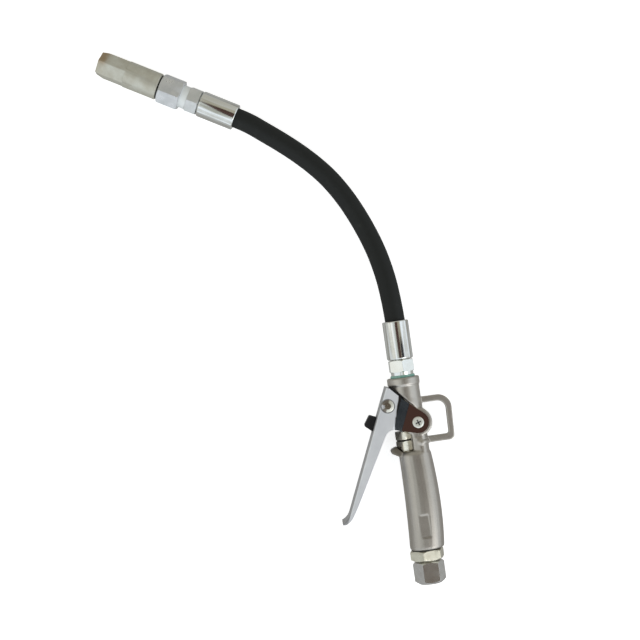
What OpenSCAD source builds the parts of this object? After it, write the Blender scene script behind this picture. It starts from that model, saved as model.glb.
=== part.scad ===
// Grease control handle with a whip hose and a hydraulic coupler, lying on its side.
// Frame: +Z up, +Y along the handle from the inlet to the hose, +X towards the hook loop.
// Origin: the centre of the inlet nut's mouth. All sizes are millimetres.

/* [Grip and body] */
// Where the cast grip starts, above the inlet mouth
grip_start = 28; // [27.8:0.1:28.6]
// Shoulder under the valve nuts, where the grip ends
grip_top = 107; // [106.6:0.1:107]
// Thickness of the grip at its fullest
grip_thick = 28; // [26:0.5:28]
// Diameter of the neck between pivot and collar
neck_d = 24.4; // [24:0.1:24.6]
// Diameter of the collar at the outlet
collar_d = 25.9; // [25.4:0.1:26.2]
// Height of the outlet face above the inlet mouth
outlet_y = 165.8; // [165.4:0.1:166.2]
// Radius of the lobe around the lever's pivot
lobe_r = 11.4; // [11:0.1:11.8]

/* [Hook loop] */
// Reach of the loop from the handle's axis
loop_reach = 35.4; // [34.5:0.1:37]
// Width of the loop's bar
loop_bar = 4.7; // [4:0.1:5.2]
// Thickness of the loop's bar
loop_thick = 7; // [5:0.5:9]

/* [Lever] */
// Thickness of the lever's sheet
lever_sheet = 1.6; // [1.2:0.1:1.6]
// Outside width of the channel along the arm
lever_width = 26.8; // [26.8:0.1:27.4]
// Outside width of the channel across its ears
ear_width = 24; // [24:0.1:24.4]
// Lean of the arm from the handle's axis
lever_lean = 23.5; // [23.3:0.1:23.7]
// Radius of each ear
ear_r = 8.6; // [8:0.1:9]

/* [Inlet swivel] */
// Across flats of the swivel nut
swivel_flats = 22; // [21.5:0.5:23]
// Radius of the inlet thread's bore
inlet_bore_r = 5.725; // [5.6:0.005:5.8]
// Across flats of the adapter above it
adapter_flats = 24.5; // [24:0.1:25]

/* [Valve] */
// Across flats of the two valve nuts
valve_flats = 12.5; // [12:0.1:12.6]
// Radius of the valve stem
stem_r = 2; // [1.9:0.01:2]

/* [Hose] */
// Outside diameter of the hose
hose_d = 16; // [15:0.5:16]
// Diameter of the crimped ferrules
ferrule_d = 21; // [20:0.5:21]
// Length of the crimped ferrules
ferrule_len = 31; // [30.5:0.1:31.4]
// Across flats of the hose ends
nipple_flats = 19; // [18:0.5:19]

/* [Coupler] */
// Direction of the coupler in the plane of the handle
coupler_angle = 150.3; // [150:0.1:150.6]
// Across flats of the coupler's hexagon
coupler_flats = 22; // [21:0.5:22]
// Diameter of the coupler's sleeve
sleeve_d = 21.6; // [21.2:0.1:22]
// Radius at which the jaws hold a grease nipple
jaw_grip_r = 3.25; // [3.1:0.05:3.3]

/* [Hidden] */
$fn = 64;
eps = 0.1;        // overlap of a cut past the face that it leaves
gap = 0.05;       // radial clearance of screwed and sliding fits
flat = 10.2;      // half thickness of the body between the ears
wing_flat = 8.8;  // half thickness of the body between the latch's wings

// Colours, as the real materials look
cast_grey = "#a8a297";
bright_zinc = "#cfcdbd";
olive_zinc = "#8b887a";
steel = "#c3c6ca";
black = "#1d1e20";
seal_green = "#5fa38f";

// Handle heights
adapter_y = 18.5;         // lower face of the adapter's hexagon
seal_y = grip_start - 0.7;
swivel_top = 17.5;
thread_depth = 10.3;      // length of the inlet thread
pivot = [6.6, 129.3];
valve_x = -6;             // the valve's axis, in front of the handle's axis
riser_x = 5;              // the grease way up through the neck
port_y = 99;              // the cross hole between them
seat_y = 88.5;            // lower end of the cartridge
ball_r = 3.5;
seat_r = 2.6;
ball_y = seat_y - sqrt(ball_r * ball_r - seat_r * seat_r) - 0.02;
spring_y = 64;            // floor of the spring chamber
cartridge_y = grip_top + 0.6;
gland_y = 116.5;
stem_top = 127.98;
push_bar_r = 2.5;
push_bar = [valve_x, stem_top + 0.02 + push_bar_r];
notch_x = -2.6;           // the body stops here in front, to clear the push bar
notch_top = 134.3;
pocket_line = 148.2;      // x + y on the edge of the pockets for the ears and the latch's wings

// Lever frame: u runs down the arm from its top corner, v runs in from its front face
lever_corner = [-15.3, 160.2];
lever_turn = 270 - lever_lean;
lever_z = lever_width / 2;
ear_z = ear_width / 2;
pivot_uv = [19.6, 32.4];
pin_uv = [13.8, 5.7];
pin_r = 2.4;
wing_z = 10.2;            // outer face of the latch's wings
wing_sheet = 1.2;

// Coupler frame: s runs from the hose's end towards the nose
hose_end = [-104, 390.4, -3.5];
nipple_s = ferrule_len;
coupler_out = 2.3;         // the coupler's own frame starts this far beyond the hose's
coupler_s = 44.6;
ring_s = 62.8;
sleeve_s = 64;
flats_s = 91.8;
taper_s = 108.9;
nose_s = 115.3;
cone_s = 100;
mouth_s = 111;
chamber_r = 7.6;
mouth_r = 4.8;
jaw_back_s = 102.5;
jaw_front_s = 110.9;
ferrule_y = 180.2;

// The hose's centreline: out of the lower ferrule, down to the table and round to the upper one
HOSE_ROUTE = [[0, 186, 0], [0, 198, 0], [0, 211, 0], [-0.4, 222, -0.3], [-1.1, 233, -0.9],
    [-2.2, 244, -1.7], [-4, 255, -2.6], [-6.4, 266, -3.5], [-9.6, 277, -4.3], [-13.5, 288, -5],
    [-18, 299, -5.5], [-23.4, 310.5, -5.8], [-29.6, 321.5, -5.9], [-36.6, 332, -5.9],
    [-44.4, 341.5, -5.8], [-53, 350.5, -5.6], [-62.4, 359.2, -5.3], [-72.4, 367.6, -4.9],
    [-82.6, 375.6, -4.4], [-93.6, 384, -3.8], [-104, 390.4, -3.5], [-114, 396.1, -3.5],
    [-124, 401.81, -3.5]];

// ---- Helpers ----

function arc(c, r, from, to, steps) =
    [for (i = [0:steps]) let (a = from + (to - from) * i / steps) c + r * [cos(a), sin(a)]];
function unit(v) = v / norm(v);
function sign_power(x, p) = sign(x) * pow(abs(x), p);

// A ring of points around p, square to the direction t
function ring_at(p, t, r, sides, up) =
    let (w = unit(up - (up * t) * t), s = cross(t, w))
    [for (k = [0:sides - 1]) let (a = 360 * k / sides) p + r * (cos(a) * s + sin(a) * w)];
function heading(path, i) =
    unit(path[min(i + 1, len(path) - 1)] - path[max(i - 1, 0)]);

// A closed solid through rings that all have the same number of points
module skin(rings) {
    n = len(rings[0]);
    m = len(rings);
    faces = concat(
        [[for (j = [n - 1:-1:0]) j]],
        [for (i = [0:m - 2], j = [0:n - 1])
            [i * n + j, i * n + (j + 1) % n, (i + 1) * n + (j + 1) % n, (i + 1) * n + j]],
        [[for (j = [0:n - 1]) (m - 1) * n + j]]);
    polyhedron(points = [for (r = rings, p = r) p], faces = faces, convexity = 6);
}

module swept(path, r, sides, up) {
    skin([for (i = [0:len(path) - 1]) ring_at(path[i], heading(path, i), r, sides, up)]);
}

// A coil along +Z
module coil(radius, wire, height, turns) {
    steps = 14;
    path = [for (i = [0:turns * steps])
        [radius * cos(360 * i / steps), radius * sin(360 * i / steps),
            wire + (height - 2 * wire) * i / (turns * steps)]];
    swept(path, wire, 7, [0, 0, 1]);
}

// Children drawn along +Z come out along the handle's +Y
module along_y(y = 0, x = 0) {
    translate([x, y, 0]) rotate([-90, 0, 0]) children();
}

module rod_y(r, from, to, x = 0) {
    along_y(from, x) cylinder(r = r, h = to - from);
}

module ring_y(outer, inner, from, to, x = 0) {
    difference() {
        rod_y(outer, from, to, x);
        rod_y(inner, from - eps, to + eps, x);
    }
}

// Children drawn along +Z come out along the hose's far end, from the ferrule's mouth
module hose_tip(s = 0) {
    translate(hose_end) rotate([0, 0, coupler_angle]) rotate([0, 90, 0]) translate([0, 0, s]) children();
}

// The same, in the coupler's own frame
module coupler(s = 0) {
    hose_tip(s + coupler_out) children();
}

// A hexagon along +Z with its corners bevelled at either end; drop is the bevel's length over its width
module hexagon(flats, h, bevel_low, bevel_high, turn = 0, drop = 0.55) {
    corner = flats / sqrt(3);
    intersection() {
        rotate([0, 0, turn]) cylinder(r = corner, h = h, $fn = 6);
        rotate_extrude() polygon([[0, 0], [corner + 0.2 - bevel_low, 0], [corner + 0.2, bevel_low * drop],
            [corner + 0.2, h - bevel_high * drop], [corner + 0.2 - bevel_high, h], [0, h]]);
    }
}

// ---- Body ----

function grip_front(y) = -11.5 - 0.0005 * pow(y - 84, 2);
function grip_back(y) = 16.5 - (y < 62 ? 0.0017 : 0.0013) * pow(y - 62, 2);
function grip_half(y) = grip_thick / 2 - 0.0006 * pow(y - 60, 2);

// One section of the grip, drawn in by the given amount
function grip_ring(y, inset) =
    let (front = grip_front(y) + inset, back = grip_back(y) - inset, sides = 32, power = 2 / 2.3)
    [for (k = [0:sides - 1]) let (a = 360 * k / sides)
        [(front + back) / 2 + (back - front) / 2 * sign_power(cos(a), power), y,
            (grip_half(y) - inset) * sign_power(sin(a), power)]];

module grip() {
    steps = 11;
    low = grip_start + 2;
    high = grip_top - 3;
    skin(concat(
        [grip_ring(grip_start, 1), grip_ring(grip_start + 0.5, 0.35)],
        [for (i = [0:steps]) grip_ring(low + (high - low) * i / steps, 0)],
        [grip_ring(grip_top - 1.4, 0.7), grip_ring(grip_top - 0.4, 1.6), grip_ring(grip_top, 2.6)]));
}

// Finger stop on the front of the grip, beside the valve cartridge
module horn() {
    hull() {
        translate([-15.6, 108.1, -6]) cylinder(r = 2.1, h = 12, $fn = 32);
        translate([-13.3, 110.8, -5]) cylinder(r = 0.6, h = 10, $fn = 32);
        translate([-10.4, 104, -7.5]) cylinder(r = 1, h = 15, $fn = 32);
        translate([-8, 105.6, -7.5]) cylinder(r = 1, h = 15, $fn = 32);
    }
}

// Blank panel sunk into the grip's upper side
module blank_panel() {
    translate([0.4, 47, 13.2]) linear_extrude(3) polygon(concat(
        arc([3, 8], 1.4, 0, 90, 5), arc([-3, 8], 1.4, 90, 180, 5),
        arc([-3, -8], 1.4, 180, 270, 5), arc([3, -8], 1.4, 270, 360, 5)));
}

// A flat oval disc across the handle's axis
module oval(x, y, half_x, half_z, h) {
    along_y(y, x) scale([half_x / half_z, 1, 1]) cylinder(r = half_z, h = h, $fn = 32);
}

module column() {
    hull() {
        oval(7.3, 103, 6, 11.4, 1);
        oval(7.1, 125, 6.2, 9.6, 1);
        for (z = [-8.4, 8.4]) translate([0, 0, z]) rod_y(1.6, 103, 126, 1.9, $fn = 32);
    }
}

module shoulder_rib() {
    hull() {
        oval(7.2, 110.9, 5.8, 10.6, 4.2);
        oval(7.2, 111.9, 7.2, 11.8, 2);
    }
}

module lobe() {
    round_r = 1.4;
    translate([pivot.x, pivot.y, 0]) rotate_extrude() polygon(concat(
        [[0, -flat]],
        arc([lobe_r - round_r, round_r - flat], round_r, -90, 0, 4),
        arc([lobe_r - round_r, flat - round_r], round_r, 0, 90, 4),
        [[0, flat]]));
}

module neck() {
    r = neck_d / 2;
    cr = collar_d / 2;
    along_y() rotate_extrude() polygon([[0, notch_top], [r - 1.6, notch_top], [r + 0.15, notch_top + 2],
        [r + 0.15, 147.4], [r - 0.1, 148.6], [r - 0.1, 159.2], [cr - 0.3, 159.8], [cr, 160.4],
        [cr, outlet_y - 0.7], [cr - 0.7, outlet_y], [0, outlet_y]]);
}

module hook_loop() {
    top = 148.4;
    low = 111.4;
    big = 10.4;
    translate([0, 0, -loop_thick / 2]) linear_extrude(loop_thick) difference() {
        polygon(concat([[8, low], [8, top]],
            arc([loop_reach - big, top - big], big, 90, 0, 10),
            arc([loop_reach - 4.8, low + 4], 4, 0, -90, 6)));
        polygon(concat([[4, low + loop_bar + 0.2], [4, top - loop_bar]],
            arc([loop_reach - loop_bar - 7, top - loop_bar - 7], 7, 90, 0, 8),
            arc([loop_reach - loop_bar - 2, low + loop_bar + 2], 1.6, 0, -90, 4)));
    }
}

// Both sides of the body, cut back to the given half thickness inside an outline
module side_pockets(half) {
    for (side = [0, 1]) mirror([0, 0, side]) translate([0, 0, half]) linear_extrude(8) children();
}

module grease_ways() {
    rod_y(8 + gap, grip_start - 2, 39);
    rod_y(2.5, 38, spring_y + 2, valve_x + 3);
    rod_y(4.2, spring_y, seat_y + eps, valve_x);
    rod_y(5.4 + gap, seat_y, grip_top + 1, valve_x);
    translate([valve_x, port_y, 0]) rotate([0, 90, 0]) cylinder(r = 1.8, h = riser_x - valve_x);
    rod_y(2, port_y - 1.9, outlet_y - 14, riser_x);
    rod_y(6.5 + gap, outlet_y - 15.8, outlet_y + 1);
}

module valve_body() {
    color(cast_grey) difference() {
        union() {
            difference() {
                union() {
                    grip();
                    column();
                    shoulder_rib();
                    lobe();
                    neck();
                    hook_loop();
                }
                side_pockets(flat)
                    polygon([[-20, 117], [24, 117], [24, pocket_line - 24], [-20, pocket_line + 20]]);
                side_pockets(wing_flat)
                    polygon([[-20, 117], [-2.4, 117], [-2.4, pocket_line + 2.4], [-20, pocket_line + 20]]);
                translate([-30 + notch_x, grip_top, -20]) cube([30, notch_top - grip_top, 40]);
            }
            horn();
        }
        blank_panel();
        rod_y(7.45, grip_top, 127, valve_x);
        grease_ways();
        for (side = [0, 1]) mirror([0, 0, side]) translate([pivot.x, pivot.y, 4.2])
            cylinder(r = 2.5, h = 8);
    }
}

// ---- Inlet swivel ----

module inlet_adapter() {
    color(olive_zinc) difference() {
        union() {
            along_y(adapter_y) hexagon(adapter_flats, seal_y - adapter_y, 3.4, 2.6, 14.5);
            rod_y(8, adapter_y + 2, 37.5);
            rod_y(7.5, 11, adapter_y + 1);
        }
        rod_y(2.5, 10, 39);
        ring_y(9, 5.72, 12, 14);
        ring_y(9, 6.8, 15, 16.4);
    }
}

module inlet_seal() {
    color(black) ring_y(12, 8 + gap, seal_y, grip_start);
}

module swivel_nut() {
    color(bright_zinc) difference() {
        along_y() hexagon(swivel_flats, swivel_top, 3.6, 2, 4, 0.75);
        rod_y(inlet_bore_r, -1, thread_depth + eps);
        rod_y(7.56, thread_depth, swivel_top + 1);
        ring_y(8.2, 7, 14.95, 16.45);
    }
}

module swivel_o_ring() {
    color(black) along_y(13) rotate_extrude() translate([6.63, 0]) circle(r = 0.9, $fn = 32);
}

module swivel_clip() {
    color(steel) along_y(15.7) rotate_extrude(angle = 330) translate([7.5, 0]) circle(r = 0.6, $fn = 32);
}

// ---- Valve ----

module valve_cartridge() {
    color(olive_zinc) difference() {
        union() {
            rod_y(5.4, seat_y, cartridge_y + 1, valve_x);
            along_y(cartridge_y, valve_x) hexagon(valve_flats, 7.7, 0.9, 0.9, 23);
        }
        rod_y(seat_r, seat_y - 1, 90.1, valve_x);
        rod_y(3.1, 90, 103, valve_x);
        rod_y(stem_r + gap, 102, 106, valve_x);
        rod_y(3.65, 105, 116, valve_x);
        translate([valve_x, port_y, 0]) rotate([0, 90, 0]) cylinder(r = 1.5, h = 8);
        translate([valve_x - 3.6, cartridge_y + 3, 3.6]) cylinder(r = 0.8, h = 4);
    }
}

module cartridge_washer() {
    color(olive_zinc) ring_y(6.1, 5.4 + gap, grip_top + 0.02, cartridge_y, valve_x);
}

module gland_packing() {
    color(black) ring_y(3.6, stem_r + 0.03, 105, 109.5, valve_x);
}

module gland_nut() {
    color(olive_zinc) difference() {
        union() {
            rod_y(3.6, 109.5, gland_y + 1, valve_x);
            along_y(gland_y, valve_x) hexagon(valve_flats, 6.5, 0.9, 0.9, 25);
        }
        rod_y(stem_r + gap, 109, 124, valve_x);
    }
}

module valve_stem() {
    color(steel) union() {
        rod_y(stem_r, 102, stem_top, valve_x);
        rod_y(1.5, ball_y + ball_r + 0.02, 103, valve_x);
    }
}

module valve_ball() {
    color(steel) translate([valve_x, ball_y, 0]) sphere(r = ball_r);
}

module valve_spring() {
    color(steel) along_y(spring_y, valve_x) coil(3.3, 0.45, ball_y - ball_r - spring_y - 0.05, 7);
}

// ---- Lever ----

// Children are drawn in the lever's own frame, u along x and v along y
module lever_frame() {
    translate([lever_corner.x, lever_corner.y, 0]) rotate([0, 0, lever_turn]) children();
}

// Half of the channel's section, in v and z, with the step in from the arm to the ears
function channel_half(front, arm, ear, corner, depth) = concat(
    arc([front + corner, arm - corner], corner, 180, 90, 6),
    [[14.4, arm], [21.6, ear], [depth, ear]]);
function mirrored(points) = [for (i = [len(points) - 1:-1:0]) [points[i].x, -points[i].y]];

module channel_section(front, inset, corner, depth) {
    half = channel_half(front, lever_z - inset, ear_z - inset, corner, depth);
    polygon(concat(half, mirrored(half)));
}

// Runs a section in v and z along u
module along_u(from, length) {
    translate([from, 0, 0]) rotate([90, 0, 90]) linear_extrude(length) children();
}

module channel_space() {
    along_u(-12, 140) channel_section(lever_sheet, lever_sheet, 0.4, 60);
}

module lever_outline() {
    ear_up = 107;
    ear_down = -79;
    polygon(concat(
        [[0, -1], [0, 3], [5.6, 16.2]],
        arc(pivot_uv, ear_r, 180 - (ear_up - 90), 0, 16),
        [[29.6, 24], [30.5, 15.8], [31.4, 13.9], [32.9, 12.2], [35.2, 11], [38, 10.4],
        [57, 8.6], [74, 7], [90.5, 5.4], [99, 4.5], [103.5, 3.8], [107, 3.1], [107, -1]]));
}

// The curled finger tip: the web bends outwards, and the cheeks run out along it
module lever_tip() {
    c = [105, -11];
    translate([0, 0, 0.6 - lever_z]) linear_extrude(lever_width - 1.2) polygon(concat(
        arc(c, 11 + lever_sheet, 91, 42, 8),
        arc(c, 11, 42, 91, 8)));
    for (side = [0, 1]) mirror([0, 0, side]) translate([0, 0, lever_z - lever_sheet])
        linear_extrude(lever_sheet) polygon(concat(
            [[104.8, 0.4], [104.8, 3.6], [107.8, 2.9], [109.4, 2.3], [110.8, 1.5], [112.4, 0.3], [113.3, -0.7],
            [113.9, -1.8]],
            arc(c, 11.8, 46, 89, 6)));
}

module lever() {
    color(steel) lever_frame() difference() {
        union() {
            intersection() {
                difference() {
                    along_u(-2, 120) channel_section(0, 0, 1.8, 50);
                    channel_space();
                }
                translate([0, 0, -15]) linear_extrude(30) lever_outline();
            }
            lever_tip();
        }
        translate([pivot_uv.x, pivot_uv.y, -15]) cylinder(r = 3 + gap, h = 30);
        translate([pin_uv.x, pin_uv.y, -15]) cylinder(r = pin_r + 0.02, h = 30);
        translate([24.7, -2, -6.4]) cube([13.5, 6, 12.8]);
        translate([pin_uv.x, pin_uv.y, lever_z - 0.35]) difference() {
            cylinder(r = 5.5, h = 1);
            translate([0, 0, -1]) cylinder(r = 4.98, h = 3);
        }
    }
}

module push_bar() {
    color(steel) intersection() {
        translate([push_bar.x, push_bar.y, -12]) cylinder(r = push_bar_r, h = 24);
        lever_frame() channel_space();
    }
}

// Screw with a raised head, drawn outwards along +Z from the body's flat
module pivot_screw(head_h) {
    head_z = ear_z + 0.05;
    difference() {
        union() {
            translate([0, 0, 4.6]) cylinder(r = 2.45, h = flat - 4.4);
            translate([0, 0, flat]) cylinder(r = 3, h = head_z - flat + 0.2);
            translate([0, 0, head_z]) rotate_extrude() polygon(concat([[0, 0], [4.5, 0]],
                arc([3.3, head_h - 1.2], 1.2, 0, 90, 5), [[0, head_h]]));
        }
        for (turn = [0, 90]) rotate([0, 0, turn + 20])
            translate([-2.3, -0.5, head_z + head_h - 1.1]) cube([4.6, 1, 2]);
    }
}

module pivot_screw_front() {
    color(bright_zinc) translate([pivot.x, pivot.y, 0]) pivot_screw(2.1);
}

module pivot_screw_rear() {
    color(bright_zinc) translate([pivot.x, pivot.y, 0]) mirror([0, 0, 1]) pivot_screw(1.7);
}

// ---- Latch ----

module wing_outline() {
    polygon([[-1.5, 3.6], [4.4, 15.8], [7.5, 16.2], [16, 13.5], [26, 12.6], [27.4, 14], [29.3, 14.2],
        [30.5, 12.8], [31, 10.6], [36.2, 6], [36.6, 2.2], [13.8, 2.2], [0, 3.6]]);
}

module latch() {
    color(black) lever_frame() difference() {
        union() {
            for (side = [0, 1]) mirror([0, 0, side]) translate([0, 0, wing_z - wing_sheet])
                linear_extrude(wing_sheet) wing_outline();
            translate([25.3, 1.9, -wing_z]) cube([11.3, 2.4, 2 * wing_z]);
            translate([0, 0, -6]) linear_extrude(12)
                polygon([[25.3, 3], [25.3, -5.4], [26.2, -6.2], [33.5, -7.6], [34.7, -7], [36.6, -0.9], [36.6, 3]]);
        }
        translate([pin_uv.x, pin_uv.y, -12]) cylinder(r = pin_r + 0.06, h = 24);
    }
}

module latch_pin() {
    color(olive_zinc) lever_frame() translate([pin_uv.x, pin_uv.y, 0]) difference() {
        union() {
            translate([0, 0, -lever_z - 0.6]) cylinder(r = 3.4, h = 0.6);
            translate([0, 0, -lever_z - 0.1]) cylinder(r = pin_r, h = 2 * lever_z + 2.3);
        }
        translate([0, 0, lever_z + 0.1]) difference() {
            cylinder(r = 4, h = 0.9);
            translate([0, 0, -eps]) cylinder(r = 1.9, h = 1.2);
        }
    }
}

module latch_clip() {
    color(bright_zinc) lever_frame() translate([pin_uv.x, pin_uv.y, lever_z + 0.14])
        rotate([0, 0, -40]) rotate_extrude(angle = 310)
        polygon([[1.94, 0], [4.94, 0], [4.94, 0.3], [2.7, 0.8], [1.94, 0.8]]);
}

module latch_spring() {
    color(steel) lever_frame() translate([pin_uv.x, pin_uv.y, 3.4]) coil(2.95, 0.38, 5.2, 5);
}

// ---- Hose and its ends ----

module outlet_washer() {
    color(seal_green) ring_y(9.8, 6.5 + gap, outlet_y, outlet_y + 1.8);
}

// Hose end drawn along +Z: the hexagon's hose side is at z = 0 and the tail runs to -Z
module hose_tail() {
    rotate([180, 0, 0]) cylinder(r = 4.2, h = 26.5);
    translate([0, 0, -eps]) cylinder(r = 4.2, h = 1);
    translate([0, 0, 0.03]) cylinder(r = 7.5, h = 0.7);
}

module hose_nipple_lower() {
    hex_y = 170.4;
    color(bright_zinc) difference() {
        union() {
            along_y(ferrule_y) mirror([0, 0, 1]) hose_tail();
            along_y(hex_y) hexagon(nipple_flats, 9.3, 1.4, 1.4, 33);
            rod_y(9, outlet_y + 1.8, hex_y + 0.5);
            rod_y(6.5, outlet_y - 13, hex_y);
        }
        rod_y(2.5, outlet_y - 14, ferrule_y + 30);
    }
}

// Crimped sleeve along +Z, its mouth at z = 0
module ferrule() {
    r = ferrule_d / 2;
    difference() {
        rotate_extrude() polygon(concat([[0, 0]], arc([r - 1, 1], 1, -90, 0, 5),
            arc([r - 1.6, ferrule_len - 1.6], 1.6, 0, 90, 5), [[0, ferrule_len]]));
        translate([0, 0, -1]) cylinder(r = 8.15, h = ferrule_len - 2.8);
        cylinder(r = 4.2 + gap, h = ferrule_len + 1);
    }
}

module ferrule_lower() {
    color(bright_zinc) translate([0, ferrule_y + ferrule_len, 0]) rotate([90, 0, 0]) ferrule();
}

module hose() {
    color(black) swept(HOSE_ROUTE, hose_d / 2, 12, [0, 0, 1]);
}

module ferrule_upper() {
    color(bright_zinc) hose_tip() ferrule();
}

module hose_nipple_upper() {
    hex_s = nipple_s + 0.5;
    neck_end = coupler_s + coupler_out;
    color(bright_zinc) hose_tip() difference() {
        union() {
            translate([0, 0, nipple_s]) hose_tail();
            translate([0, 0, hex_s]) hexagon(nipple_flats, 9.6, 1.4, 1.4, 48);
            translate([0, 0, hex_s + 9]) cylinder(r = 9.2, h = neck_end - hex_s - 9);
            translate([0, 0, neck_end - 1]) cylinder(r = 4.9, h = 12);
        }
        cylinder(r = 2, h = 64);
    }
}

// ---- Coupler ----

module coupler_body() {
    color(olive_zinc) coupler() difference() {
        union() {
            translate([0, 0, coupler_s]) hexagon(coupler_flats, ring_s - coupler_s, 1.6, 2.2, 43);
            translate([0, 0, ring_s - 1]) cylinder(r = 7, h = 10.5);
        }
        translate([0, 0, coupler_s - 1]) cylinder(r = 4.9 + gap, h = 13);
        cylinder(r = 1.5, h = 61);
        translate([0, 0, 60]) cylinder(r = 2.6, h = 14);
    }
}

module coupler_ring() {
    color(black) coupler(ring_s) difference() {
        cylinder(r = 9.6, h = sleeve_s - ring_s);
        translate([0, 0, -1]) cylinder(r = 7 + gap, h = 4);
    }
}

module coupler_sleeve() {
    r = sleeve_d / 2;
    corner = r + 0.3;
    color(olive_zinc) coupler() difference() {
        rotate_extrude() polygon(concat([[0, sleeve_s]],
            arc([r - 1, sleeve_s + 1], 1, -90, 0, 4), [[r, nose_s], [0, nose_s]]));
        translate([0, 0, flats_s]) difference() {
            cylinder(r = 14, h = 30);
            translate([0, 0, -1]) rotate([0, 0, 5]) cylinder(r = corner, h = 32, $fn = 6);
        }
        translate([0, 0, taper_s]) difference() {
            translate([0, 0, -0.01]) cylinder(r = 14, h = 20);
            translate([0, 0, -0.02]) rotate([0, 0, 5])
                cylinder(r1 = corner + 0.01, r2 = corner * 0.865, h = nose_s - taper_s + 0.02, $fn = 6);
        }
        translate([0, 0, sleeve_s - 1]) cylinder(r = 7 + gap, h = 11);
        translate([0, 0, 73]) cylinder(r = chamber_r, h = cone_s - 73);
        translate([0, 0, cone_s - 0.001])
            cylinder(r1 = chamber_r, r2 = mouth_r, h = mouth_s - cone_s + 0.002);
        translate([0, 0, mouth_s]) cylinder(r = mouth_r, h = 8);
    }
}

function cone_r(s) = chamber_r + (mouth_r - chamber_r) * (s - cone_s) / (mouth_s - cone_s);

module coupler_jaws() {
    fit = 0.08;
    land_s = 106.5;
    color(steel) coupler() for (i = [0:2]) rotate([0, 0, 120 * i]) rotate_extrude(angle = 104)
        polygon([[4.2, jaw_back_s], [cone_r(jaw_back_s) - fit, jaw_back_s],
            [cone_r(mouth_s) - fit, mouth_s], [cone_r(mouth_s) - fit, jaw_front_s],
            [jaw_grip_r, jaw_front_s], [jaw_grip_r, land_s], [4.2, land_s]]);
}

module jaw_piston() {
    color(bright_zinc) coupler() difference() {
        union() {
            translate([0, 0, 92]) cylinder(r = chamber_r - gap, h = 6);
            translate([0, 0, 97]) cylinder(r = 6.6, h = jaw_back_s - 97);
            translate([0, 0, 100]) cylinder(r = 4.1, h = 4.6);
        }
        translate([0, 0, 90]) cylinder(r = 1.5, h = 20);
    }
}

module jaw_seal() {
    color(black) coupler(104.6) difference() {
        cylinder(r = 4.1, h = 1.8);
        translate([0, 0, -1]) cylinder(r = 1.5, h = 5);
    }
}

module coupler_spring() {
    color(steel) coupler(73.2) coil(6.2, 0.7, 92 - 73.2 - 0.05, 6);
}

module check_ball() {
    seat = sqrt(2.2 * 2.2 - 1.5 * 1.5);
    color(steel) coupler(60 + seat + 0.02) sphere(r = 2.2);
}

module check_spring() {
    color(steel) coupler(63.9) coil(1.7, 0.3, 5.9, 6);
}

module check_retainer() {
    color(bright_zinc) coupler(69.9) difference() {
        cylinder(r = 2.6 - 0.02, h = 1.6);
        translate([0, 0, -1]) cylinder(r = 1.1, h = 4);
    }
}

valve_body();
inlet_adapter();
inlet_seal();
swivel_nut();
swivel_o_ring();
swivel_clip();
valve_cartridge();
cartridge_washer();
gland_packing();
gland_nut();
valve_stem();
valve_ball();
valve_spring();
lever();
push_bar();
pivot_screw_front();
pivot_screw_rear();
latch();
latch_pin();
latch_clip();
latch_spring();
outlet_washer();
hose_nipple_lower();
ferrule_lower();
hose();
ferrule_upper();
hose_nipple_upper();
coupler_body();
coupler_ring();
coupler_sleeve();
coupler_jaws();
jaw_piston();
jaw_seal();
coupler_spring();
check_ball();
check_spring();
check_retainer();
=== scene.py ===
"""Looks for the grease control handle: metals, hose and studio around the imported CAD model."""

import math

import bpy
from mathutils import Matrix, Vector


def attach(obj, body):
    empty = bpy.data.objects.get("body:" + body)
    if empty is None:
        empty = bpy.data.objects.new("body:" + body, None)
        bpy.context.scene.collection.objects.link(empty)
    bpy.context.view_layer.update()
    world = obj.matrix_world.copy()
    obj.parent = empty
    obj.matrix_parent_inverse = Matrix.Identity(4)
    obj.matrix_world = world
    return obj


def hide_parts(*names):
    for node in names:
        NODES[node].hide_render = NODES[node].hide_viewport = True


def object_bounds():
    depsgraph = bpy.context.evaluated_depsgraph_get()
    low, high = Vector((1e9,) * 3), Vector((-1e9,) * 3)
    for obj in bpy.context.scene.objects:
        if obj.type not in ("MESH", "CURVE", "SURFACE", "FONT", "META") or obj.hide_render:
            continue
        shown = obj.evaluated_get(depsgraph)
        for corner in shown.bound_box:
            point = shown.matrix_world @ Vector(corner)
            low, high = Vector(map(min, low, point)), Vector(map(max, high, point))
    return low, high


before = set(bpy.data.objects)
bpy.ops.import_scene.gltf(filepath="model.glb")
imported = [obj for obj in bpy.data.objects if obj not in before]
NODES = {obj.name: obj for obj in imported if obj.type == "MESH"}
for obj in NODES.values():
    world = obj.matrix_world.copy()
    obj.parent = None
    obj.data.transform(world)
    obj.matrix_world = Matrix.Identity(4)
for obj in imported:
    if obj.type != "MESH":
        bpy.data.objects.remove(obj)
CAD_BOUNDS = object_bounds()
MM = 0.001

# Turns and places in the row frame that the surface patterns follow
LEVER_TURN = math.radians(270 - 23.5)
LEVER_CORNER = (-15.3 * MM, 160.2 * MM, 0)
COUPLER_TURN = math.radians(150.3)
HOSE_END = (-104 * MM, 390.4 * MM, -3.5 * MM)
PIVOT = (6.6 * MM, 129.3 * MM, 0)
HORN = (-17 * MM, 110 * MM, 0)

# The height below which the grip is fully darker, and the radius of the painted shade in the pivot screws'
# recess
GRIP_DARKER_TO = 92 * MM
RECESS_RADIUS = 2.7 * MM

# Along the coupler from HOSE_END: the end of the hose end's hexagon, where the painted highlight on its neck
# starts, and the start of the painted brown reflection on the nose
NIPPLE_HEX_END = 41.1 * MM
NOSE_REFLECTION_FROM = 108 * MM

# The latch pin in the lever's own frame: along the arm, then in from its front
LATCH_PIN = (13.8 * MM, 5.7 * MM, 0)
# The radius of the painted shadow ring round that pin
SHADOW_RING_RADIUS = 5.3 * MM
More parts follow.
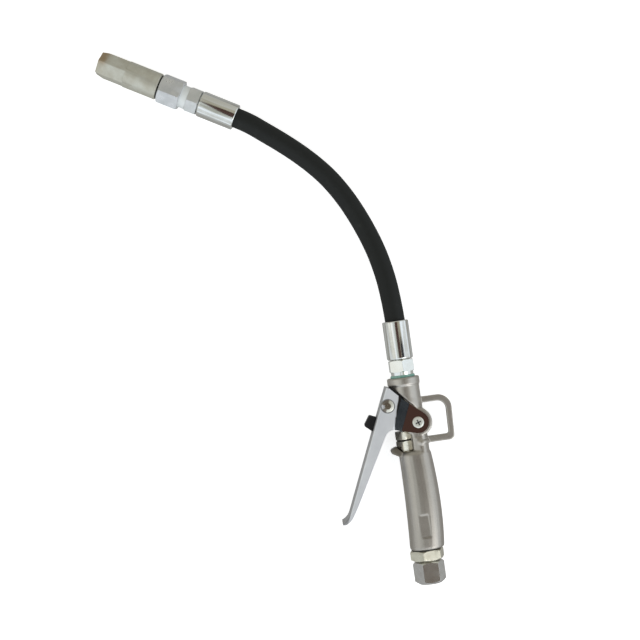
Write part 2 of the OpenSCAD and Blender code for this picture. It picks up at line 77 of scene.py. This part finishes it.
# In from the lever's front: where the arm bends, and where the polished ears start
ARM_BEND = 13.9 * MM
POLISH_START = 21.6 * MM

# The valve's axis, and the middle of the gap between its two hexagons, in millimetres
VALVE_X = -6
VALVE_GAP_Y = 115.9

HOSE_RADIUS = 8 * MM
HOSE_ROUTE = [
    (0, 186, 0), (0, 198, 0), (0, 211, 0), (-0.4, 222, -0.3), (-1.1, 233, -0.9), (-2.2, 244, -1.7),
    (-4, 255, -2.6), (-6.4, 266, -3.5), (-9.6, 277, -4.3), (-13.5, 288, -5), (-18, 299, -5.5),
    (-23.4, 310.5, -5.8), (-29.6, 321.5, -5.9), (-36.6, 332, -5.9), (-44.4, 341.5, -5.8),
    (-53, 350.5, -5.6), (-62.4, 359.2, -5.3), (-72.4, 367.6, -4.9), (-82.6, 375.6, -4.4),
    (-93.6, 384, -3.8), (-104, 390.4, -3.5), (-114, 396.1, -3.5), (-124, 401.81, -3.5),
]  # fmt: skip


# ---- Materials ----


def linear(*screen):
    """A colour given as 0-255 screen values, in the linear values that shaders take."""
    shares = [c / 255 for c in screen]
    return tuple(c / 12.92 if c < 0.0404 else ((c + 0.055) / 1.055) ** 2.4 for c in shares) + (1,)


class Shader:
    """One material's node tree, with a Principled shader and short calls that add to it."""

    def __init__(self, name):
        self.material = bpy.data.materials.new(name)
        self.material.use_nodes = True
        self.tree = self.material.node_tree
        self.main = self.tree.nodes["Principled BSDF"]
        self.place = self.tree.nodes.new("ShaderNodeTexCoord").outputs["Object"]

    def node(self, kind, **settings):
        made = self.tree.nodes.new(kind)
        for key, value in settings.items():
            setattr(made, key, value)
        return made

    def join(self, source, target):
        self.tree.links.new(source, target)

    def mapped(self, source, turn=0.0, stretch=(1, 1, 1), shift=(0, 0, 0)):
        """Coordinates seen from a frame at shift that is turned about Z, then stretched."""
        node = self.node("ShaderNodeMapping", vector_type="TEXTURE")
        node.inputs["Location"].default_value = shift
        node.inputs["Rotation"].default_value = (0, 0, turn)
        node.inputs["Scale"].default_value = [1 / s for s in stretch]
        self.join(source, node.inputs["Vector"])
        return node.outputs["Vector"]

    def noise(self, vector, scale, detail=3.0, roughness=0.5, distortion=0.0):
        node = self.node("ShaderNodeTexNoise")
        node.inputs["Scale"].default_value = scale
        node.inputs["Detail"].default_value = detail
        node.inputs["Roughness"].default_value = roughness
        node.inputs["Distortion"].default_value = distortion
        self.join(vector, node.inputs["Vector"])
        return node.outputs["Fac"]

    def xyz(self, vector):
        """The three parts of a vector."""
        node = self.node("ShaderNodeSeparateXYZ")
        self.join(vector, node.inputs["Vector"])
        return [node.outputs[axis] for axis in "XYZ"]

    def length(self, vector):
        node = self.node("ShaderNodeVectorMath", operation="LENGTH")
        self.join(vector, node.inputs["Vector"])
        return node.outputs["Value"]

    def wander(self, noise, reach):
        """A noise as an offset that can move a border by up to half of reach, either way."""
        return self.math("MULTIPLY", self.math("SUBTRACT", noise, 0.5), reach)

    def ranged(self, source, low, high, to_low, to_high, smooth=False):
        node = self.node("ShaderNodeMapRange", interpolation_type="SMOOTHSTEP" if smooth else "LINEAR")
        for key, value in (("From Min", low), ("From Max", high), ("To Min", to_low), ("To Max", to_high)):
            node.inputs[key].default_value = value
        self.join(source, node.inputs["Value"])
        return node.outputs["Result"]

    def math(self, operation, a, b=0.0):
        node = self.node("ShaderNodeMath", operation=operation)
        for socket, value in zip(node.inputs, (a, b)):
            if isinstance(value, (int, float)):
                socket.default_value = value
            else:
                self.join(value, socket)
        return node.outputs["Value"]

    def mix(self, share, a, b):
        """Colours a and b mixed by share."""
        node = self.node("ShaderNodeMix", data_type="RGBA")
        self.join(share, node.inputs["Factor"])
        for socket, value in ((node.inputs["A"], a), (node.inputs["B"], b)):
            if isinstance(value, tuple):
                socket.default_value = value
            else:
                self.join(value, socket)
        return node.outputs["Result"]

    def bump(self, height, depth, strength=1.0, below=None):
        node = self.node("ShaderNodeBump")
        node.inputs["Distance"].default_value = depth
        node.inputs["Strength"].default_value = strength
        self.join(height, node.inputs["Height"])
        if below is not None:
            self.join(below, node.inputs["Normal"])
        self.join(node.outputs["Normal"], self.main.inputs["Normal"])
        return node.outputs["Normal"]

    def set(self, **values):
        for key, value in values.items():
            socket = self.main.inputs[key.replace("_", " ").title()]
            if isinstance(value, (int, float, tuple)):
                socket.default_value = value
            else:
                self.join(value, socket)


def plated(name, colour, shade, roughness, turn=0.0, lines=(90, 5000, 90), metallic=1.0):
    """Plated or bare turned metal: fine tool lines, and a slow drift of tone and gloss."""
    s = Shader(name)
    drift = s.noise(s.place, 140, 4, 0.6)
    tool = s.noise(s.mapped(s.place, turn, lines), 1, 2)
    s.set(
        Base_color=s.mix(s.ranged(drift, 0.35, 0.7, 0, 1), colour, shade),
        Metallic=metallic,
        Roughness=s.ranged(drift, 0.3, 0.7, roughness * 0.8, roughness * 1.25),
    )
    fine = s.bump(tool, 0.02 * MM, 0.35)
    s.bump(s.noise(s.place, 900, 2), 0.02 * MM, 0.3, fine)
    return s.material


def cast():
    """Blasted casting: a sand grain, soft dents, a drifting tone, painted shade round the horn, and darker
    along the grip below the head.
    """
    s = Shader("cast_metal")
    grain = s.noise(s.place, 2600, 3, 0.65)
    swell = s.noise(s.place, 260, 3, 0.5)
    cloud = s.noise(s.place, 45, 4, 0.6)
    tone = s.mix(s.ranged(cloud, 0.3, 0.7, 0, 1), linear(187, 183, 175), linear(169, 164, 156))
    speck = s.mix(s.ranged(grain, 0.4, 0.6, 0, 1), tone, linear(204, 200, 193))
    wander = s.wander(s.noise(s.place, 300, 3), 3 * MM)
    from_horn = s.math("ADD", s.length(s.mapped(s.place, stretch=(1, 1, 0.6), shift=HORN)), wander)
    # painted shade round the horn, tucked under the valve hexagons
    horn_shade = s.ranged(from_horn, 8 * MM, 12 * MM, 0.75, 0, True)
    height = s.math("ADD", s.xyz(s.place)[1], s.math("MULTIPLY", wander, 3))
    # darker along the grip below the head, fading out 24 mm higher up
    grip_darker = s.ranged(height, GRIP_DARKER_TO, GRIP_DARKER_TO + 24 * MM, 0.32, 0, True)
    speck = s.mix(grip_darker, speck, linear(152, 147, 138))
    s.set(
        Base_color=s.mix(horn_shade, speck, linear(112, 104, 92)),
        Metallic=0.94,
        Roughness=s.ranged(grain, 0.3, 0.7, 0.3, 0.44),
    )
    soft = s.bump(swell, 0.10 * MM, 0.4)
    s.bump(grain, 0.06 * MM, 0.6, soft)
    return s.material


def lever_steel():
    """The stamped lever: a satin arm with painted shade along its front edge and a painted shadow ring round
    the latch pin, a painted dark reflection on the bend, and ears polished like a mirror past it.
    """
    s = Shader("lever_steel")
    across = s.mapped(s.place, LEVER_TURN, (1, 1, 1), LEVER_CORNER)
    along, inward, _ = s.xyz(across)
    wander = s.wander(s.noise(s.place, 120, 2), 2.4 * MM)
    # the bend line starts nearer the front at the top of the arm
    bend = s.math("ADD", s.math("MULTIPLY", s.math("SUBTRACT", along, 20 * MM), -0.17), inward)
    bend = s.math("ADD", bend, wander)
    past = s.ranged(bend, ARM_BEND, ARM_BEND + 1 * MM, 0, 1, True)
    polished = s.ranged(inward, POLISH_START, POLISH_START + 0.4 * MM, 0, 1, True)
    brushed = s.noise(s.mapped(s.place, LEVER_TURN, (110, 4200, 4200), LEVER_CORNER), 1, 3, 0.6)
    cloud = s.noise(s.place, 60, 3)
    arm = s.mix(s.ranged(cloud, 0.35, 0.65, 0, 1), linear(240, 243, 247), linear(230, 233, 238))
    # painted dark reflection on the bend, from ARM_BEND in to the polished ears
    dark = s.mix(s.ranged(cloud, 0.35, 0.65, 0, 1), linear(100, 106, 110), linear(70, 75, 80))
    # a painted shadow ring round the latch clip on the pin
    around = s.length(s.mapped(across, stretch=(1, 1, 0.001), shift=LATCH_PIN))
    off_ring = s.math("ABSOLUTE", s.math("SUBTRACT", around, SHADOW_RING_RADIUS))
    ring_shadow = s.ranged(off_ring, 0.25 * MM, 0.6 * MM, 0.9, 0, True)
    ring_shadow = s.math("MULTIPLY", ring_shadow, s.ranged(cloud, 0.3, 0.6, 0.6, 1))
    # painted shade along the lever's front edge, mixed with the painted shadow ring into the arm's colour
    rim = s.ranged(inward, 0.2 * MM, 0.9 * MM, 0.55, 0, True)
    arm = s.mix(s.math("MAXIMUM", ring_shadow, rim), arm, linear(104, 102, 100))
    keep = s.math("SUBTRACT", 1.0, past)
    shine = s.math("ADD", s.math("MULTIPLY", keep, 0.4), past)
    arm_roughness = s.math("MULTIPLY", s.ranged(brushed, 0.3, 0.7, 0.34, 0.46), keep)
    gloss = s.math("SUBTRACT", 0.22, s.math("MULTIPLY", polished, 0.16))
    s.set(
        Base_color=s.mix(polished, s.mix(past, arm, dark), linear(222, 217, 214)),
        Metallic=shine,
        Roughness=s.math("ADD", arm_roughness, s.math("MULTIPLY", gloss, past)),
    )
    lines = s.bump(s.math("MULTIPLY", brushed, keep), 0.03 * MM, 0.4)
    s.bump(s.noise(s.place, 90, 1), 0.05 * MM, 0.25, lines)
    return s.material


def screw_zinc(name, top):
    """A satin screw head with painted shade in its cross recess."""
    s = Shader(name)
    drift = s.noise(s.place, 700, 3, 0.6)
    x, y, z = s.xyz(s.mapped(s.place, shift=PIVOT))
    out = s.math("ADD", s.math("POWER", x, 2.0), s.math("POWER", y, 2.0))
    inner = s.math("LESS_THAN", out, RECESS_RADIUS**2)
    deep = s.math("LESS_THAN", s.math("ABSOLUTE", z), top - 0.3 * MM)
    # painted shade inside the recess radius and below the head's top
    recess_shade = s.math("MULTIPLY", inner, deep)
    zinc = s.mix(s.ranged(drift, 0.35, 0.65, 0, 1), linear(244, 246, 240), linear(228, 230, 220))
    s.set(
        Base_color=s.mix(recess_shade, zinc, linear(52, 54, 58)),
        Metallic=s.ranged(recess_shade, 0, 1, 0.45, 0.1),
        Roughness=s.ranged(drift, 0.3, 0.7, 0.3, 0.42),
    )
    s.bump(drift, 0.04 * MM, 0.4)
    return s.material


def shaded_side(name, clean, shade_colour, start, end, roughness, metallic, turn=LEVER_TURN, corner=LEVER_CORNER):
    """Plating with painted shade on one side: the shaded metal turns to its clean tone between two distances
    across.
    """
    s = Shader(name)
    across = s.xyz(s.mapped(s.place, turn, (1, 1, 1), corner))[1]
    drift = s.noise(s.place, 500, 3, 0.6)
    # painted shade on the side where the distance across is small
    front = s.ranged(s.math("ADD", across, s.wander(drift, 1.2 * MM)), start, end, 0.85, 0, True)
    plate = s.mix(s.ranged(drift, 0.35, 0.65, 0, 1), clean, tuple(0.8 * c for c in clean[:3]) + (1,))
    s.set(
        Base_color=s.mix(front, plate, shade_colour),
        Metallic=metallic,
        Roughness=s.ranged(drift, 0.3, 0.7, *roughness),
    )
    s.bump(drift, 0.04 * MM, 0.4)
    return s.material


def crimped(name, turn):
    """Bright ferrule: the press's dies leave long streaks down the sleeve between finer scratches."""
    s = Shader(name)
    streak = s.noise(s.mapped(s.place, turn, (12, 460, 460)), 1, 2, 0.6)
    fine = s.noise(s.mapped(s.place, turn, (60, 4200, 4200)), 1, 2)
    drift = s.noise(s.place, 160, 4, 0.6)
    shade = s.mix(s.ranged(drift, 0.35, 0.65, 0, 1), linear(218, 219, 214), linear(202, 201, 193))
    s.set(
        Base_color=s.mix(s.ranged(streak, 0.44, 0.56, 0, 1, True), linear(240, 243, 242), shade),
        Metallic=1.0,
        Roughness=s.ranged(drift, 0.3, 0.7, 0.1, 0.16),
    )
    dies = s.bump(streak, 0.05 * MM, 0.2)
    s.bump(fine, 0.02 * MM, 0.3, dies)
    return s.material


def nipple_zinc():
    """The upper hose end: grey zinc on its hexagon, and a painted highlight on the neck behind it, near white
    and barely metallic.
    """
    s = Shader("nipple_zinc_coupler")
    along = s.xyz(s.mapped(s.place, COUPLER_TURN, (1, 1, 1), HOSE_END))[0]
    # painted highlight on the neck past the hexagon
    neck = s.ranged(along, NIPPLE_HEX_END - 0.1 * MM, NIPPLE_HEX_END + 0.7 * MM, 0, 1, True)
    drift = s.noise(s.place, 140, 4, 0.6)
    lines = s.noise(s.mapped(s.place, COUPLER_TURN, (5000, 90, 90)), 1, 2)
    grey = s.mix(s.ranged(drift, 0.35, 0.7, 0, 1), linear(224, 226, 225), linear(206, 209, 207))
    s.set(
        Base_color=s.mix(neck, grey, linear(246, 250, 249)),
        Metallic=s.ranged(neck, 0, 1, 0.6, 0.1),
        Roughness=s.ranged(drift, 0.3, 0.7, 0.26, 0.4),
    )
    fine = s.bump(lines, 0.02 * MM, 0.35)
    s.bump(s.noise(s.place, 900, 2), 0.02 * MM, 0.3, fine)
    return s.material


def sleeve_zinc():
    """The coupler's plating: turned lines round the sleeve, a yellowed tone, and a painted brown reflection
    on one side of the nose.
    """
    s = Shader("sleeve_zinc")
    along, across, _ = s.xyz(s.mapped(s.place, COUPLER_TURN, (1, 1, 1), HOSE_END))
    drift = s.noise(s.place, 120, 4, 0.6)
    lines = s.noise(s.mapped(s.place, COUPLER_TURN, (5000, 90, 90)), 1, 2)
    # painted brown reflection on the nose, strongest on one side across it
    nose = s.ranged(s.math("ADD", along, s.wander(drift, 6 * MM)), NOSE_REFLECTION_FROM, NOSE_REFLECTION_FROM + 7 * MM, 0, 1, True)
    plate = s.mix(s.ranged(drift, 0.35, 0.65, 0, 1), linear(210, 210, 198), linear(196, 193, 178))
    nose = s.math("MULTIPLY", nose, s.ranged(across, -4 * MM, 4 * MM, 0.75, 0.1, True))
    s.set(
        Base_color=s.mix(nose, plate, linear(160, 130, 90)),
        Metallic=0.55,
        Roughness=s.ranged(drift, 0.3, 0.7, 0.38, 0.5),
    )
    fine = s.bump(lines, 0.03 * MM, 0.4)
    s.bump(s.noise(s.place, 1100, 3), 0.03 * MM, 0.4, fine)
    return s.material


def black_coating():
    s = Shader("black_coating")
    grain = s.noise(s.place, 1800, 3)
    s.set(
        Base_color=s.mix(s.ranged(grain, 0.4, 0.7, 0, 1), linear(14, 14, 18), linear(24, 24, 30)),
        Roughness=s.ranged(grain, 0.3, 0.7, 0.4, 0.6),
    )
    s.bump(grain, 0.03 * MM, 0.5)
    return s.material


def rubber_black():
    s = Shader("rubber_black")
    grain = s.noise(s.place, 1500, 4)
    s.set(Base_color=linear(22, 22, 24), Roughness=s.ranged(grain, 0.3, 0.7, 0.55, 0.75))
    s.bump(grain, 0.03 * MM, 0.4)
    return s.material


def seal_green():
    s = Shader("seal_green")
    cloud = s.noise(s.place, 400, 3)
    s.set(
        Base_color=s.mix(s.ranged(cloud, 0.35, 0.65, 0, 1), linear(166, 214, 202), linear(128, 190, 176)),
        Roughness=0.2,
    )
    s.bump(cloud, 0.04 * MM, 0.3)
    return s.material


# painted shade: the dark colour of the bead in the gap between the valve hexagons
def painted_gap_shade():
    s = Shader("painted_gap_shade")
    cloud = s.noise(s.place, 500, 4, 0.6)
    s.set(
        Base_color=s.mix(s.ranged(cloud, 0.35, 0.65, 0, 1), linear(58, 50, 42), linear(34, 31, 30)),
        Roughness=s.ranged(cloud, 0.3, 0.7, 0.25, 0.5),
    )
    s.bump(cloud, 0.12 * MM, 0.5)
    return s.material


def hose_rubber():
    """Hose cover with the faint weave of the cloth that it was cured in, scuffed here and there."""
    s = Shader("hose_rubber")
    uv = s.node("ShaderNodeTexCoord").outputs["UV"]
    weave = None
    for turn in (35, -35):
        wave = s.node("ShaderNodeTexWave", bands_direction="X", wave_profile="SIN")
        wave.inputs["Scale"].default_value = 420
        wave.inputs["Distortion"].default_value = 1.2
        wave.inputs["Detail"].default_value = 1.0
        wave.inputs["Detail Scale"].default_value = 2.0
        s.join(s.mapped(uv, math.radians(turn)), wave.inputs["Vector"])
        weave = wave.outputs["Fac"] if weave is None else s.math("MAXIMUM", weave, wave.outputs["Fac"])
    grain = s.noise(s.place, 1600, 4, 0.6)
    scuff = s.ranged(s.noise(s.place, 70, 5, 0.7), 0.56, 0.72, 0, 1, True)
    dark = s.mix(s.ranged(grain, 0.35, 0.7, 0, 1), linear(20, 23, 22), linear(29, 32, 30))
    s.set(
        Base_color=s.mix(s.math("MULTIPLY", scuff, 0.5), dark, linear(46, 48, 44)),
        Roughness=s.ranged(grain, 0.3, 0.7, 0.5, 0.72),
    )
    s.main.inputs["Specular IOR Level"].default_value = 0.32
    cloth = s.bump(weave, 0.10 * MM, 0.5)
    s.bump(grain, 0.05 * MM, 0.5, cloth)
    return s.material


CAST = cast()
LEVER = lever_steel()
BLACK = black_coating()
RUBBER = rubber_black()
GREEN = seal_green()
GAP_SHADE = painted_gap_shade()
HOSE = hose_rubber()
ZINC = plated("bright_zinc", linear(238, 241, 238), linear(230, 232, 226), 0.1)
FERRULE = crimped("ferrule_zinc", math.radians(90))
FERRULE_COUPLER = crimped("ferrule_zinc_coupler", COUPLER_TURN)
# the latch clip: painted shade on its side toward the lever's front
CLIP = shaded_side("clip_zinc", linear(246, 246, 236), linear(96, 80, 68), 5 * MM, 6.4 * MM, (0.28, 0.4), 0.5)
SCREW_FRONT = screw_zinc("screw_zinc", 14.15 * MM)
SCREW_REAR = screw_zinc("screw_zinc_rear", 13.75 * MM)
OLIVE = plated("olive_zinc", linear(216, 214, 198), linear(196, 192, 174), 0.3, metallic=0.8)
# the valve hexagons: painted shade on their side towards -X, away from the key light
OLIVE_SHADED_SIDE = shaded_side(
    "olive_zinc_shaded_side", linear(240, 236, 220), linear(112, 104, 94), -8 * MM, -7 * MM, (0.16, 0.24), 1.0,
    math.radians(-90), (0, 0, 0),
)  # fmt: skip
PIN = plated("pin_zinc", linear(196, 190, 172), linear(118, 104, 94), 0.3, lines=(900, 900, 900))
OLIVE_COUPLER = sleeve_zinc()
HEX_COUPLER = plated(
    "grey_zinc_coupler", linear(224, 226, 227), linear(206, 209, 210), 0.32, COUPLER_TURN, (5000, 90, 90), 0.6
)
NIPPLE_COUPLER = nipple_zinc()
NUT = plated("grey_zinc", linear(226, 227, 226), linear(208, 206, 202), 0.2)
STEEL = plated("ground_steel", linear(206, 208, 210), linear(190, 192, 196), 0.2)
WIRE = plated("spring_wire", linear(170, 170, 172), linear(140, 140, 142), 0.3)

FINISHES = {
    "valve_body": CAST,
    "inlet_adapter": OLIVE,
    "inlet_seal": RUBBER,
    "swivel_nut": NUT,
    "swivel_o_ring": RUBBER,
    "swivel_clip": WIRE,
    "valve_cartridge": OLIVE_SHADED_SIDE,
    "cartridge_washer": OLIVE_SHADED_SIDE,
    "gland_packing": RUBBER,
    "gland_nut": OLIVE_SHADED_SIDE,
    "valve_stem": STEEL,
    "valve_ball": STEEL,
    "valve_spring": WIRE,
    "lever": LEVER,
    "push_bar": STEEL,
    "pivot_screw_front": SCREW_FRONT,
    "pivot_screw_rear": SCREW_REAR,
    "latch": BLACK,
    "latch_pin": PIN,
    "latch_clip": CLIP,
    "latch_spring": WIRE,
    "outlet_washer": GREEN,
    "hose_nipple_lower": ZINC,
    "ferrule_lower": FERRULE,
    "hose": HOSE,
    "ferrule_upper": FERRULE_COUPLER,
    "hose_nipple_upper": NIPPLE_COUPLER,
    "coupler_body": HEX_COUPLER,
    "coupler_ring": RUBBER,
    "coupler_sleeve": OLIVE_COUPLER,
    "coupler_jaws": STEEL,
    "jaw_piston": STEEL,
    "jaw_seal": RUBBER,
    "coupler_spring": WIRE,
    "check_ball": STEEL,
    "check_spring": WIRE,
    "check_retainer": STEEL,
}

# Width of the worn edge on each piece's corners, in millimetres
EDGES = {
    "inlet_adapter": 0.3,
    "swivel_nut": 0.3,
    "valve_cartridge": 0.35,
    "gland_nut": 0.35,
    "lever": 0.2,
    "latch": 0.4,
    "latch_pin": 0.2,
    "latch_clip": 0.12,
    "pivot_screw_front": 0.12,
    "pivot_screw_rear": 0.12,
    "outlet_washer": 0.3,
    "hose_nipple_lower": 0.25,
    "ferrule_lower": 0.2,
    "ferrule_upper": 0.2,
    "hose_nipple_upper": 0.25,
    "coupler_body": 0.3,
    "coupler_ring": 0.2,
    "coupler_sleeve": 0.25,
    "coupler_jaws": 0.15,
}


def paint(obj, material):
    obj.data.materials.clear()
    obj.data.materials.append(material)


def soften_edges(obj, width):
    weld = obj.modifiers.new("weld", "WELD")
    weld.merge_threshold = 0.002 * MM
    bevel = obj.modifiers.new("worn_edge", "BEVEL")
    bevel.width = width * MM
    bevel.segments = 2
    bevel.limit_method = "ANGLE"
    bevel.angle_limit = math.radians(28)
    bevel.use_clamp_overlap = True


def dress_cad():
    for name, material in FINISHES.items():
        paint(NODES[name], material)
    for name, width in EDGES.items():
        soften_edges(NODES[name], width)


def melt_casting(obj):
    """Rounds the casting's corners and inner angles, as a mould does."""
    remesh = obj.modifiers.new("as_cast", "REMESH")
    remesh.mode = "VOXEL"
    remesh.voxel_size = 0.45 * MM
    remesh.use_smooth_shade = True
    smooth = obj.modifiers.new("mould_radii", "SMOOTH")
    smooth.factor = 0.5
    smooth.iterations = 4


# ---- Hose ----


def smooth_path(points, steps):
    """Catmull-Rom curve through the points."""
    p = [Vector(q) for q in points]
    p = [2 * p[0] - p[1], *p, 2 * p[-1] - p[-2]]
    out = []
    for a, b, c, d in zip(p, p[1:], p[2:], p[3:]):
        for i in range(steps):
            t = i / steps
            bend = 2 * a - 5 * b + 4 * c - d
            twist = 3 * b - a - 3 * c + d
            out.append(0.5 * (2 * b + (c - a) * t + bend * t * t + twist * t**3))
    out.append(p[-2])
    return out


def tube(name, path, radius, sides):
    """A closed-ended tube with its length and girth, in metres, as texture coordinates."""
    verts, faces, lengths = [], [], [0.0]
    for a, b in zip(path, path[1:]):
        lengths.append(lengths[-1] + (b - a).length)
    for i, p in enumerate(path):
        ahead = (path[min(i + 1, len(path) - 1)] - path[max(i - 1, 0)]).normalized()
        up = (Vector((0, 0, 1)) - ahead * ahead.z).normalized()
        side = ahead.cross(up)
        for k in range(sides):
            a = 2 * math.pi * k / sides
            verts.append(p + radius * (math.cos(a) * side + math.sin(a) * up))
    rings = len(path)
    for i in range(rings - 1):
        for k in range(sides):
            n = (k + 1) % sides
            faces.append((i * sides + k, i * sides + n, (i + 1) * sides + n, (i + 1) * sides + k))
    faces.append(tuple(range(sides - 1, -1, -1)))
    faces.append(tuple((rings - 1) * sides + k for k in range(sides)))
    mesh = bpy.data.meshes.new(name)
    mesh.from_pydata([tuple(v) for v in verts], [], faces)
    layer = mesh.uv_layers.new(name="length_and_girth")
    girth = 2 * math.pi * radius
    for face in mesh.polygons[: (rings - 1) * sides]:
        i, k = divmod(face.index, sides)
        corners = ((i, k), (i, k + 1), (i + 1, k + 1), (i + 1, k))
        for loop, (ring, turn) in zip(face.loop_indices, corners):
            layer.data[loop].uv = (lengths[ring], girth * turn / sides)
        face.use_smooth = True
    mesh.validate()
    obj = bpy.data.objects.new(name, mesh)
    bpy.context.scene.collection.objects.link(obj)
    return obj, lengths[-1]


def build_hose():
    path = smooth_path([Vector(p) * MM for p in HOSE_ROUTE], 16)
    obj, length = tube("hose_cover", path, HOSE_RADIUS, 72)
    paint(obj, HOSE)
    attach(obj, "handle")
    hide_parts("hose")
    return obj


def build_gap_shade_bead():
    """A dark bead round the stem's neck, between the two valve hexagons: painted shade in the gap between
    them.
    """
    turns, ring = 72, 10
    verts, faces = [], []
    for i in range(turns):
        a = 2 * math.pi * i / turns
        lump = 0.18 * math.sin(3 * a + 0.7) + 0.1 * math.sin(7 * a + 2)
        for k in range(ring):
            b = 2 * math.pi * k / ring
            out = 4.75 + (1.15 + 0.5 * lump) * math.cos(b)
            y = VALVE_GAP_Y + 0.68 * math.sin(b)
            verts.append(((VALVE_X + out * math.cos(a)) * MM, y * MM, out * math.sin(a) * MM))
    for i in range(turns):
        j = (i + 1) % turns
        for k in range(ring):
            n = (k + 1) % ring
            faces.append((i * ring + k, j * ring + k, j * ring + n, i * ring + n))
    mesh = bpy.data.meshes.new("gap_shade_bead")
    mesh.from_pydata(verts, [], faces)
    for face in mesh.polygons:
        face.use_smooth = True
    mesh.validate()
    obj = bpy.data.objects.new("gap_shade_bead", mesh)
    bpy.context.scene.collection.objects.link(obj)
    # painted shade in the gap between the valve hexagons
    paint(obj, GAP_SHADE)
    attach(obj, "handle")


# ---- Studio ----


def build_floor():
    low = CAD_BOUNDS[0].z
    bpy.ops.mesh.primitive_plane_add(size=8, location=(0, 0.2, low - 0.0002))
    floor = bpy.context.object
    floor.name = "floor"
    s = Shader("floor_white")
    s.set(Base_color=(0.8, 0.8, 0.8, 1), Roughness=0.9, Emission_color=(1, 1, 1, 1), Emission_strength=0.72)
    paint(floor, s.material)
    floor.visible_diffuse = False
    floor.visible_glossy = False


class Sky:
    """The world's node tree, with calls that mix colours by direction."""

    def __init__(self):
        world = bpy.data.worlds.new("tent")
        bpy.context.scene.world = world
        world.use_nodes = True
        self.tree = world.node_tree
        self.shade = self.tree.nodes["Background"]
        self.place = self.tree.nodes.new("ShaderNodeTexCoord").outputs["Generated"]
        self.axes = self.tree.nodes.new("ShaderNodeSeparateXYZ")
        self.tree.links.new(self.place, self.axes.inputs["Vector"])

    def math(self, operation, a, b=0.0):
        node = self.tree.nodes.new("ShaderNodeMath")
        node.operation = operation
        for socket, value in zip(node.inputs, (a, b)):
            if isinstance(value, (int, float)):
                socket.default_value = value
            else:
                self.tree.links.new(value, socket)
        return node.outputs["Value"]

    def smooth(self, value, low, high):
        span = self.tree.nodes.new("ShaderNodeMapRange")
        span.interpolation_type = "SMOOTHSTEP"
        span.inputs["From Min"].default_value = low
        span.inputs["From Max"].default_value = high
        self.tree.links.new(value, span.inputs["Value"])
        return span.outputs["Result"]

    def towards(self, direction, low, high):
        """0 to 1 as the view turns towards the direction, between two cosines."""
        dot = self.tree.nodes.new("ShaderNodeVectorMath")
        dot.operation = "DOT_PRODUCT"
        self.tree.links.new(self.place, dot.inputs[0])
        dot.inputs[1].default_value = Vector(direction).normalized()
        return self.smooth(dot.outputs["Value"], low, high)

    def overhead(self, x, y, half_x, half_y, edge, turn=0.0):
        """1 inside a box of directions overhead, 0 outside it."""
        turned = self.tree.nodes.new("ShaderNodeMapping")
        turned.vector_type = "TEXTURE"
        turned.inputs["Location"].default_value = (x, y, 0)
        turned.inputs["Rotation"].default_value = (0, 0, turn)
        self.tree.links.new(self.place, turned.inputs["Vector"])
        axes = self.tree.nodes.new("ShaderNodeSeparateXYZ")
        self.tree.links.new(turned.outputs["Vector"], axes.inputs["Vector"])
        across = self.math("DIVIDE", self.math("ABSOLUTE", axes.outputs["X"]), half_x)
        along = self.math("DIVIDE", self.math("ABSOLUTE", axes.outputs["Y"]), half_y)
        summed = self.math("ADD", self.math("POWER", across, 6), self.math("POWER", along, 6))
        rim = self.math("POWER", summed, 1 / 6)
        inside = self.smooth(self.math("SUBTRACT", 1.0, rim), -edge, edge)
        return self.math("MULTIPLY", inside, self.math("GREATER_THAN", self.axes.outputs["Z"], 0.2))

    def mixed(self, share, a, b):
        node = self.tree.nodes.new("ShaderNodeMix")
        node.data_type = "RGBA"
        self.tree.links.new(share, node.inputs["Factor"])
        for socket, value in ((node.inputs["A"], a), (node.inputs["B"], b)):
            if isinstance(value, tuple):
                socket.default_value = value
            else:
                self.tree.links.new(value, socket)
        return node.outputs["Result"]


def build_world():
    """A pale tent, dimmer at the back, over a white sheet, with the dark room seen past the camera."""
    sky = Sky()
    front = sky.towards((0.35, -0.93, 0.0), -0.75, 0.1)
    lamp = sky.towards((-0.78, 0.1, 0.62), 0.9, 0.97)
    up = sky.towards((0, 0, 1), -0.3, 0.12)
    walls = sky.mixed(front, (0.44, 0.425, 0.37, 1), (0.90, 0.95, 1.0, 1))
    walls = sky.mixed(lamp, walls, (0.95, 0.96, 0.93, 1))
    tent = sky.mixed(up, (0.42, 0.42, 0.41, 1), walls)
    overhead = [
        ((0.26, 0.1, 0.33, 0.55, 0.15), (0.40, 0.375, 0.30, 1)),  # a gap in the tent
        ((-0.3, 0.05, 0.14, 0.5, 0.12), (0.54, 0.56, 0.53, 1)),  # a grey reflector
        ((0.44, -0.24, 0.17, 0.22, 0.1), (0.015, 0.017, 0.026, 1)),  # a navy cloth
        ((0.03, 0.045, 0.2, 0.305, 0.06), (0.072, 0.040, 0.032, 1)),  # the dark room
    ]
    for patch, colour in overhead:
        tent = sky.mixed(sky.overhead(*patch), tent, colour)
    sky.tree.links.new(tent, sky.shade.inputs["Color"])
    sky.shade.inputs["Strength"].default_value = 1.0


def area_light(name, place, target, size, watts, colour):
    data = bpy.data.lights.new(name, "AREA")
    data.shape = "RECTANGLE"
    data.size, data.size_y = size
    data.energy = watts
    data.color = colour
    obj = bpy.data.objects.new(name, data)
    bpy.context.scene.collection.objects.link(obj)
    obj.location = place
    obj.rotation_euler = (Vector(target) - Vector(place)).to_track_quat("-Z", "Y").to_euler()


def build_camera():
    data = bpy.data.cameras.new("camera")
    data.lens = 77.3
    data.sensor_width = 36
    camera = bpy.data.objects.new("camera", data)
    bpy.context.scene.collection.objects.link(camera)
    camera.location = (-0.0593, 0.2202, 1.1)
    camera.rotation_euler = (0, 0, math.radians(-7.9))
    bpy.context.scene.camera = camera


dress_cad()
melt_casting(NODES["valve_body"])
build_hose()
build_gap_shade_bead()
build_floor()
build_world()
bpy.context.scene.view_settings.view_transform = "Standard"
area_light("key", (0.75, -0.6, 1.0), (-0.05, 0.2, 0), (0.8, 0.8), 4.2, (1.0, 1.0, 1.0))
build_camera()
